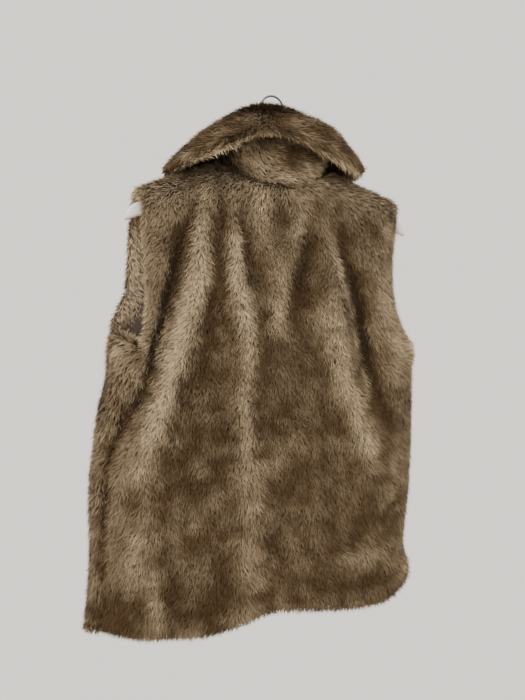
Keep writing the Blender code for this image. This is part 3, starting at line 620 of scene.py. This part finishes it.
def strandTemplate():
    # One strand of unit size: a folded kite that rises from its root and bends over
    item = addObject("strand", bpy.data.meshes.new("strand"))
    points = [(0.0, 0.0, 0.0), (-0.5, 0.40, 0.60), (0.5, 0.40, 0.60), (0.0, 1.0, 1.0)]
    item.data.from_pydata(points, [], [(0, 2, 1), (1, 2, 3)])
    along = item.data.attributes.new("along", "FLOAT", "POINT")
    along.data.foreach_set("value", [0.0, 0.5, 0.5, 1.0])
    return smoothShading(item)


def named(tree, name, kind="FLOAT"):
    # A value that layPile has put on the growth mesh
    node = addNode(tree, "GeometryNodeInputNamedAttribute", {"Name": name}, data_type=kind)
    return node.outputs["Attribute"]


def vectorMath(tree, operation, first, second):
    inputs = {0: first, ("Scale" if operation == "SCALE" else 1): second}
    return addNode(tree, "ShaderNodeVectorMath", inputs, operation=operation).outputs[0]


growthSockets = {
    "Geometry": "Geometry", "Strand": "Object", "Material": "Material", "Density": "Float",
    "Width": "Float", "Length": "Float", "Rise": "Float", "Clump Size": "Float",
    "Clump Pull": "Float", "Seed": "Int",
}


def growTree(name, growth):
    tree = bpy.data.node_groups.new(name, "GeometryNodeTree")
    for label, kind in growthSockets.items():
        tree.interface.new_socket(label, in_out="INPUT", socket_type="NodeSocket" + kind)
    tree.interface.new_socket("Geometry", in_out="OUTPUT", socket_type="NodeSocketGeometry")
    given = addNode(tree, "NodeGroupInput").outputs

    # Roots: scattered on the tips' face, then sunk by the depth of the pile
    scatter = addNode(
        tree, "GeometryNodeDistributePointsOnFaces",
        {
            "Mesh": given["Geometry"],
            "Density": doMath(tree, "MULTIPLY", given["Density"], named(tree, "dense")),
            "Seed": given["Seed"],
        },
        distribute_method="RANDOM",
    )
    normal = scatter.outputs["Normal"]
    inwards = doMath(tree, "MULTIPLY", named(tree, "depth"), -1.0)
    sunk = vectorMath(tree, "SCALE", normal, inwards)
    roots = addNode(
        tree, "GeometryNodeSetPosition", {"Geometry": scatter.outputs["Points"], "Offset": sunk}
    )

    # Direction: the comb, drawn aside clump by clump, most where the pile is open
    place = addNode(tree, "GeometryNodeInputPosition").outputs[0]
    perSize = doMath(tree, "DIVIDE", 1.0, given["Clump Size"])
    clump = addNode(tree, "ShaderNodeTexNoise", {"Vector": place, "Scale": perSize, "Detail": 1.0})
    centred = vectorMath(tree, "SUBTRACT", clump.outputs["Color"], (0.5, 0.5, 0.5))
    farther = doMath(
        tree, "MULTIPLY_ADD", named(tree, "opened"), growth["clumpOpen"], growth["clumpClosed"]
    )
    held = doMath(tree, "MULTIPLY", named(tree, "calm"), farther)
    pull = vectorMath(tree, "SCALE", centred, doMath(tree, "MULTIPLY", given["Clump Pull"], held))
    pulled = vectorMath(tree, "ADD", named(tree, "comb", "FLOAT_VECTOR"), pull)
    pulled = vectorMath(tree, "ADD", pulled, pull)

    # Turn: upright on the face, along that direction, and a little off it at random
    stood = addNode(tree, "FunctionNodeAlignRotationToVector", {"Vector": normal}, axis="Z")
    turned = addNode(
        tree, "FunctionNodeAlignRotationToVector",
        {"Rotation": stood.outputs[0], "Vector": pulled}, axis="Y", pivot_axis="Z",
    )
    least, most = growth["leans"]
    lean = addNode(
        tree, "FunctionNodeRandomValue", {"Min": least, "Max": most, "Seed": given["Seed"]},
        data_type="FLOAT_VECTOR",
    )
    leaning = addNode(tree, "FunctionNodeEulerToRotation", {"Euler": lean.outputs["Value"]})
    rotated = addNode(
        tree, "FunctionNodeRotateRotation",
        {"Rotation": turned.outputs[0], "Rotate By": leaning.outputs[0]}, rotation_space="LOCAL",
    )

    # Size: width, length and rise, each strand scaled at random
    shortest, longest = growth["sizes"]
    size = addNode(
        tree, "FunctionNodeRandomValue", {2: shortest, 3: longest, "Seed": given["Seed"]},
        data_type="FLOAT",
    )
    fullLength = doMath(tree, "MULTIPLY", given["Length"], named(tree, "longer"))
    unitSize = addNode(
        tree, "ShaderNodeCombineXYZ", {"X": given["Width"], "Y": fullLength, "Z": given["Rise"]}
    )
    strand = addNode(tree, "GeometryNodeObjectInfo", {"Object": given["Strand"]})
    grown = addNode(
        tree, "GeometryNodeInstanceOnPoints",
        {
            "Points": roots.outputs[0],
            "Instance": strand.outputs["Geometry"],
            "Rotation": rotated.outputs[0],
            "Scale": vectorMath(tree, "SCALE", unitSize.outputs[0], size.outputs[1]),
        },
    )
    tint = addNode(tree, "FunctionNodeRandomValue", {"Seed": given["Seed"]}, data_type="FLOAT")
    stored = addNode(
        tree, "GeometryNodeStoreNamedAttribute",
        {"Geometry": grown.outputs[0], "Name": "strandTint", "Value": tint.outputs[1]},
        data_type="FLOAT", domain="INSTANCE",
    )
    real = addNode(tree, "GeometryNodeRealizeInstances", {"Geometry": stored.outputs[0]})
    painted = addNode(
        tree, "GeometryNodeSetMaterial", {"Geometry": real.outputs[0], "Material": given["Material"]}
    )
    addNode(tree, "NodeGroupOutput", {"Geometry": painted.outputs[0]})
    return tree


def strandCells(data):
    # A map in which every strand has its own small cell, so that each can be painted apart
    strands = len(data.vertices) // 4
    side = math.ceil(math.sqrt(strands))
    corners = np.zeros(len(data.loops), np.int32)
    data.loops.foreach_get("vertex_index", corners)
    local = np.array([(0.5, 0.08), (0.08, 0.5), (0.92, 0.5), (0.5, 0.92)])
    index = corners // 4
    cells = np.stack((index % side, index // side), axis=1)
    places = (cells + local[corners % 4]) / side
    cellMap = data.uv_layers.new(name="OFBake")
    cellMap.data.foreach_set("uv", places.astype(np.float32).ravel())


squareCmPerSquareM = 1e4


def growPile(name, growth, tree, strand, material, perSquareCm, seed):
    # Strands scattered on the growth mesh, then kept as a plain mesh
    item = addObject(name, growth.data.copy())
    modifier = item.modifiers.new("pile", "NODES")
    modifier.node_group = tree
    thin = 1.0
    # Fewer strands to a square centimetre are wider, so that they cover as well
    sparser = pileGrowth["perSquareCm"]["back"] / perSquareCm
    wider = min(math.sqrt(sparser), pileGrowth["widest"])
    values = {
        "Strand": strand,
        "Material": material,
        "Density": perSquareCm * squareCmPerSquareM * thin,
        "Width": pileGrowth["width"] * wider / math.sqrt(thin),
        "Length": pileGrowth["length"],
        "Rise": pileGrowth["rise"],
        "Clump Size": pileGrowth["clumpSize"],
        "Clump Pull": pileGrowth["clumpPull"],
        "Seed": seed,
    }
    for socket in tree.interface.items_tree:
        if socket.in_out == "INPUT" and socket.name in values:
            modifier[socket.identifier] = values[socket.name]
    applyModifiers(item)
    strandCells(item.data)
    smoothShading(item)
    print("grew", name, len(item.data.polygons), "triangles")
    return item


def splitByArea(item, parts):
    # Copies of a growth mesh, side by side and equal in area
    data = item.data
    areas = np.array([p.area for p in data.polygons])
    across = np.array([p.center.x for p in data.polygons])
    order = np.argsort(across)
    share = np.cumsum(areas[order]) / areas.sum()
    part = np.zeros(len(areas), int)
    part[order] = np.minimum((share * parts).astype(int), parts - 1)
    copies = []
    for k in range(parts):
        mesh = bmesh.new()
        mesh.from_mesh(data)
        mesh.faces.ensure_lookup_table()
        bmesh.ops.delete(mesh, geom=[f for f in mesh.faces if part[f.index] != k], context="FACES")
        copies.append(meshObject("growthPart", mesh))
    return copies


# The body's comb: shares of its downward direction. The pairs tell where a share starts and
# how wide it fades in, across or upwards, and "underarm" its height and half height, in metres.
bodyNap = {
    "outwards": 1.7,
    "overSeam": 0.3,
    "seamHeight": -0.2,
    "roundRim": 1.6,
    "insideRim": 1.5,
    "offShoulder": 0.9,
    "shoulder": (-0.175, 0.030),
    "toArmhole": 0.7,
    "armholeAcross": (0.160, 0.035),
    "armholeUp": (-0.37, 0.05),
    "toUnderarm": 1.1,
    "raiseUnderarm": 0.7,
    "underarm": (-0.375, 0.035),
    "underarmAcross": (0.165, 0.05),
}


def bodyComb(facing, nap=bodyNap):
    # Down and outwards, off the shoulder seam to the panel's own side, towards the armholes
    # near their edges, and round free edges to the inside
    def comb(points, normals, rim):
        x, z = points[:, 0], points[:, 2]
        side = np.sign(x)
        beside = fade(np.abs(x), *nap["armholeAcross"]) * fade(z, *nap["armholeUp"])
        height, half = nap["underarm"]
        under = np.exp(-(((z - height) / half) ** 2)) * fade(np.abs(x), *nap["underarmAcross"])
        inside = np.clip(2.0 * rim - 1.0, 0.0, 1.0) * (z > underarmHeight)
        atSeam = z > nap["seamHeight"]
        direction = np.zeros_like(points)
        direction[:, 0] = nap["outwards"] * x
        direction[:, 0] += side * nap["offShoulder"] * fade(z, *nap["shoulder"])
        direction[:, 0] += side * nap["toArmhole"] * beside
        direction[:, 0] += side * nap["toUnderarm"] * under
        direction[:, 0] -= side * nap["insideRim"] * inside
        direction[:, 1] = nap["overSeam"] * facing * atSeam - nap["roundRim"] * facing * rim
        direction[:, 2] = nap["raiseUnderarm"] * under - 1.0
        return direction

    return comb


# The collar's comb: where its pile parts and how wide, in metres across, and its shares
collarNap = {"parting": -0.045, "width": 0.030, "middle": 0.8, "outwards": 0.5, "roll": 2.0}


def collarComb(drift, fall, overRoll, nap=collarNap):
    # Along the collar: "drift" 0 parts the pile left of centre back, 1 leads it all to the
    # right. With "overRoll" the nap climbs the inside and comes down over the roll.
    def comb(points, normals, rim):
        turn = np.arctan2(points[:, 0], -points[:, 1])
        parting = (points[:, 0] - nap["parting"]) / nap["width"]
        way = np.tanh(parting) * (1.0 - drift) + drift
        middle = nap["middle"] * np.exp(-(parting**2))
        outwards = nap["outwards"] + middle
        facingOut = normals[:, 0] * np.sin(turn) - normals[:, 1] * np.cos(turn)
        climb = np.clip(nap["roll"] * facingOut, -1.0, 1.0) if overRoll else 1.0
        return np.stack(
            (
                np.cos(turn) * way + np.sin(turn) * outwards,
                np.sin(turn) * way - np.cos(turn) * outwards,
                -(fall + middle) * climb,
            ),
            axis=1,
        )

    return comb


pile = pileMaterial("fauxFurPile", pileLook)
backing = backingMaterial("knitBacking", backingLook)
satin = satinMaterial("satinLining", liningLook)
strand = strandTemplate()
tree = growTree("pileGrowth", pileGrowth)
print("materials and strand ready")

# Each fur piece: what lies within it, how its pile lies and opens, and its cut in metres
bodyPile = {
    "within": linings, "isBody": True, "open": 0.11, "ridge": 0.24, "mottle": 0.22, "streaky": 0.26,
}
collarPile = {"isBody": False, "ridge": 0.35, "mottle": 0.45, "streaky": 0.40}
furPieces = {
    "back_panel": {
        **bodyPile, "comb": bodyComb(-1.0), "density": "back", "parts": 3,
        "flat": (0.52, 0.68), "area": 0.300, "slot": "faux_fur",
    },
    "front_left": {
        **bodyPile, "comb": bodyComb(1.0), "density": "front", "parts": 1,
        "flat": (0.31, 0.67), "area": 0.170, "slot": "faux_fur",
    },
    "front_right": {
        **bodyPile, "comb": bodyComb(1.0), "density": "front", "parts": 1,
        "flat": (0.27, 0.67), "area": 0.150, "slot": "faux_fur",
    },
    "upper_collar": {
        **collarPile, "within": ("under_collar",), "comb": collarComb(0.0, 0.8, True), "open": -0.34,
        "density": "upperCollar", "parts": 1, "flat": (0.60, 0.22), "area": 0.075, "slot": "collar_fur",
    },
    "under_collar": {
        **collarPile, "within": ("upper_collar",), "comb": collarComb(0.9, 0.4, False), "open": 0.30,
        "density": "underCollar", "parts": 1, "flat": (0.56, 0.185), "area": 0.060, "slot": "collar_fur",
    },
}


def makeFurPiece(nodeName, plan, seed):
    mesh = weldedCopy(nodeName)
    facing = sideOfFaces(mesh, nodeTree(plan["within"]))
    outer = {index: value > sideShare for index, value in facing.items()}
    inner = {index: value < -sideShare for index, value in facing.items()}
    rim = freeRim(mesh, facing, nodeTree([name for name in furPieces if name != nodeName]))
    cloth = makeShell(nodeName + "_cloth", mesh, inner, backingLook["thickness"], backing)
    growth = growthMesh(mesh, outer, rim)
    mesh.free()
    layPile(growth, plan)
    fields = splitByArea(growth, plan["parts"]) if plan["parts"] > 1 else [growth]
    piles = []
    for k, field in enumerate(fields):
        name = nodeName + "_pile" + ("_%d" % (k + 1) if plan["parts"] > 1 else "")
        density = pileGrowth["perSquareCm"][plan["density"]]
        piles.append(growPile(name, field, tree, strand, pile, density, seed + k))
    for field in {growth, *fields}:
        bpy.data.objects.remove(field)
    for item in (cloth, *piles):
        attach(item, body)
    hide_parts(nodeName)


# Each piece's fields take the seeds that follow its first one
seedStep = 10
for number, (nodeName, plan) in enumerate(furPieces.items()):
    makeFurPiece(nodeName, plan, seedStep * number + 1)
bpy.data.objects.remove(strand)
print("fur pieces made")


# The lining, with the small slack waves that a hanging lining has
liningPieces = {
    "lining_back": {"flat": (0.48, 0.65), "area": 0.270},
    "lining_front_left": {"flat": (0.265, 0.64), "area": 0.147},
    "lining_front_right": {"flat": (0.245, 0.64), "area": 0.138},
}
slack = {"size": 0.045, "height": 0.0009, "upright": 0.3}


def makeLining(nodeName):
    mesh = weldedCopy(nodeName)
    joinQuads(mesh)
    item = meshObject(nodeName + "_cloth", mesh, [satin])
    smooth = item.modifiers.new("smooth", "SUBSURF")
    smooth.subdivision_type = "SIMPLE"
    smooth.levels = 1
    applyModifiers(item)
    for vertex in item.data.vertices:
        place = Vector((vertex.co.x, vertex.co.y, vertex.co.z * slack["upright"]))
        vertex.co.y += slack["height"] * noise.noise(place / slack["size"])
    smoothShading(item)
    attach(item, body)
    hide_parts(nodeName)


for nodeName, plan in liningPieces.items():
    makeLining(nodeName)
print("lining made")

# White lacquer on wood: smooth, with a faint unevenness of the sprayed coat.
paint = {
    "colour": "#ece9e1",
    "shade": "#dedbd2",
    "roughness": 0.32,
    "uneven": (90.0, 3.0),
    "bump": (0.1, 0.0004),
    "coat": 0.3,
}


def paintMaterial(name, look):
    material, tree, shader = newMaterial(name, look["roughness"])
    uneven = noiseTexture(tree, *look["uneven"])
    colour = mixColour(tree, uneven, linearColour(look["colour"]), linearColour(look["shade"]))
    tree.links.new(colour, shader.inputs["Base Color"])
    addBump(tree, shader, uneven, *look["bump"])
    shader.inputs["Coat Weight"].default_value = look["coat"]
    return material


def makeHanger():
    mesh = weldedCopy("hanger_arms")
    joinQuads(mesh)
    item = meshObject("hanger_bar", mesh, [paintMaterial("whiteLacquer", paint)])
    smooth = item.modifiers.new("smooth", "SUBSURF")
    smooth.levels = 2
    applyModifiers(item)
    smoothShading(item)
    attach(item, body)
    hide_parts("hanger_arms")


# Zinc-plated steel wire: grey, dull, drawn lengthwise.
steel = {
    "dark": "#57554f",
    "light": "#7c7a74",
    "roughness": 0.38,
    "roughFrom": 0.28,
    "roughTo": 0.5,
    "ior": 2.5,
    "grain": (700.0, 3.0),
    "sharpAngle": 50.0,
}


def steelMaterial(name, look):
    material, tree, shader = newMaterial(name, look["roughness"], ior=look["ior"], metallic=1.0)
    grain = noiseTexture(tree, *look["grain"])
    colour = mixColour(tree, grain, linearColour(look["dark"]), linearColour(look["light"]))
    tree.links.new(colour, shader.inputs["Base Color"])
    spread = {"Value": grain, "To Min": look["roughFrom"], "To Max": look["roughTo"]}
    rough = addNode(tree, "ShaderNodeMapRange", spread)
    tree.links.new(rough.outputs[0], shader.inputs["Roughness"])
    return material


def makeHook():
    mesh = weldedCopy("hanger_hook")
    item = meshObject("hook_wire", mesh, [steelMaterial("zincWire", steel)])
    smoothShading(item)
    item.data.set_sharp_from_angle(angle=math.radians(steel["sharpAngle"]))
    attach(item, body)
    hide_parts("hanger_hook")


makeHanger()
makeHook()
print("hanger made")

# Camera: level, a little to the left of square, as the photograph was taken
view = {
    "target": (-0.0103, 0.0, -0.3801),
    "azimuth": 20.0,
    "distance": 1.5,
    "roll": 0.7,
    "lens": 51.45,
    "sensor": 36.0,
}
# Each lamp is x, y, z, watts and size
light = {
    "world": "#f3efe6",
    "worldStrength": 1.5,
    "key": (-1.3, -1.9, 1.4, 60.0, 0.9),
    "fill": (2.0, -1.5, 0.4, 14.0, 1.6),
    "aim": (0.0, 0.0, -0.4),
    "floor": "#dddbd7",
    "floorRoughness": 0.85,
    "floorSize": 3.4,
    "floorHeight": -1.7,
}


def turnTo(item, forward, roll=0.0):
    # Turns a camera or a lamp to look along a direction
    item.rotation_mode = "QUATERNION"
    aim = forward.to_track_quat("-Z", "Y")
    item.rotation_quaternion = aim @ Quaternion((0.0, 0.0, 1.0), math.radians(roll))


def makeCamera(look):
    data = bpy.data.cameras.new("camera")
    data.lens = look["lens"]
    data.sensor_width = look["sensor"]
    item = addObject("camera", data)
    turn = math.radians(look["azimuth"])
    forward = Vector((math.sin(turn), math.cos(turn), 0.0))
    item.location = Vector(look["target"]) - forward * look["distance"]
    turnTo(item, forward, look["roll"])
    bpy.context.scene.camera = item


def areaLight(name, x, y, z, power, size):
    data = bpy.data.lights.new(name, "AREA")
    data.energy = power
    data.size = size
    item = addObject(name, data)
    item.location = (x, y, z)
    turnTo(item, Vector(light["aim"]) - item.location)


def makeStage(look):
    world = bpy.data.worlds.new("studio")
    world.use_nodes = True
    background = world.node_tree.nodes["Background"]
    background.inputs["Color"].default_value = linearColour(look["world"])
    background.inputs["Strength"].default_value = look["worldStrength"]
    bpy.context.scene.world = world
    areaLight("keyLight", *look["key"])
    areaLight("fillLight", *look["fill"])
    place = (0.0, 0.0, look["floorHeight"])
    bpy.ops.mesh.primitive_plane_add(size=look["floorSize"], location=place)
    floor = bpy.context.object
    floor.name = "floor"
    material, _, shader = newMaterial("floorPaint", look["floorRoughness"])
    shader.inputs["Base Color"].default_value = linearColour(look["floor"])
    floor.data.materials.append(material)


makeCamera(view)
makeStage(light)
print("camera and light set")
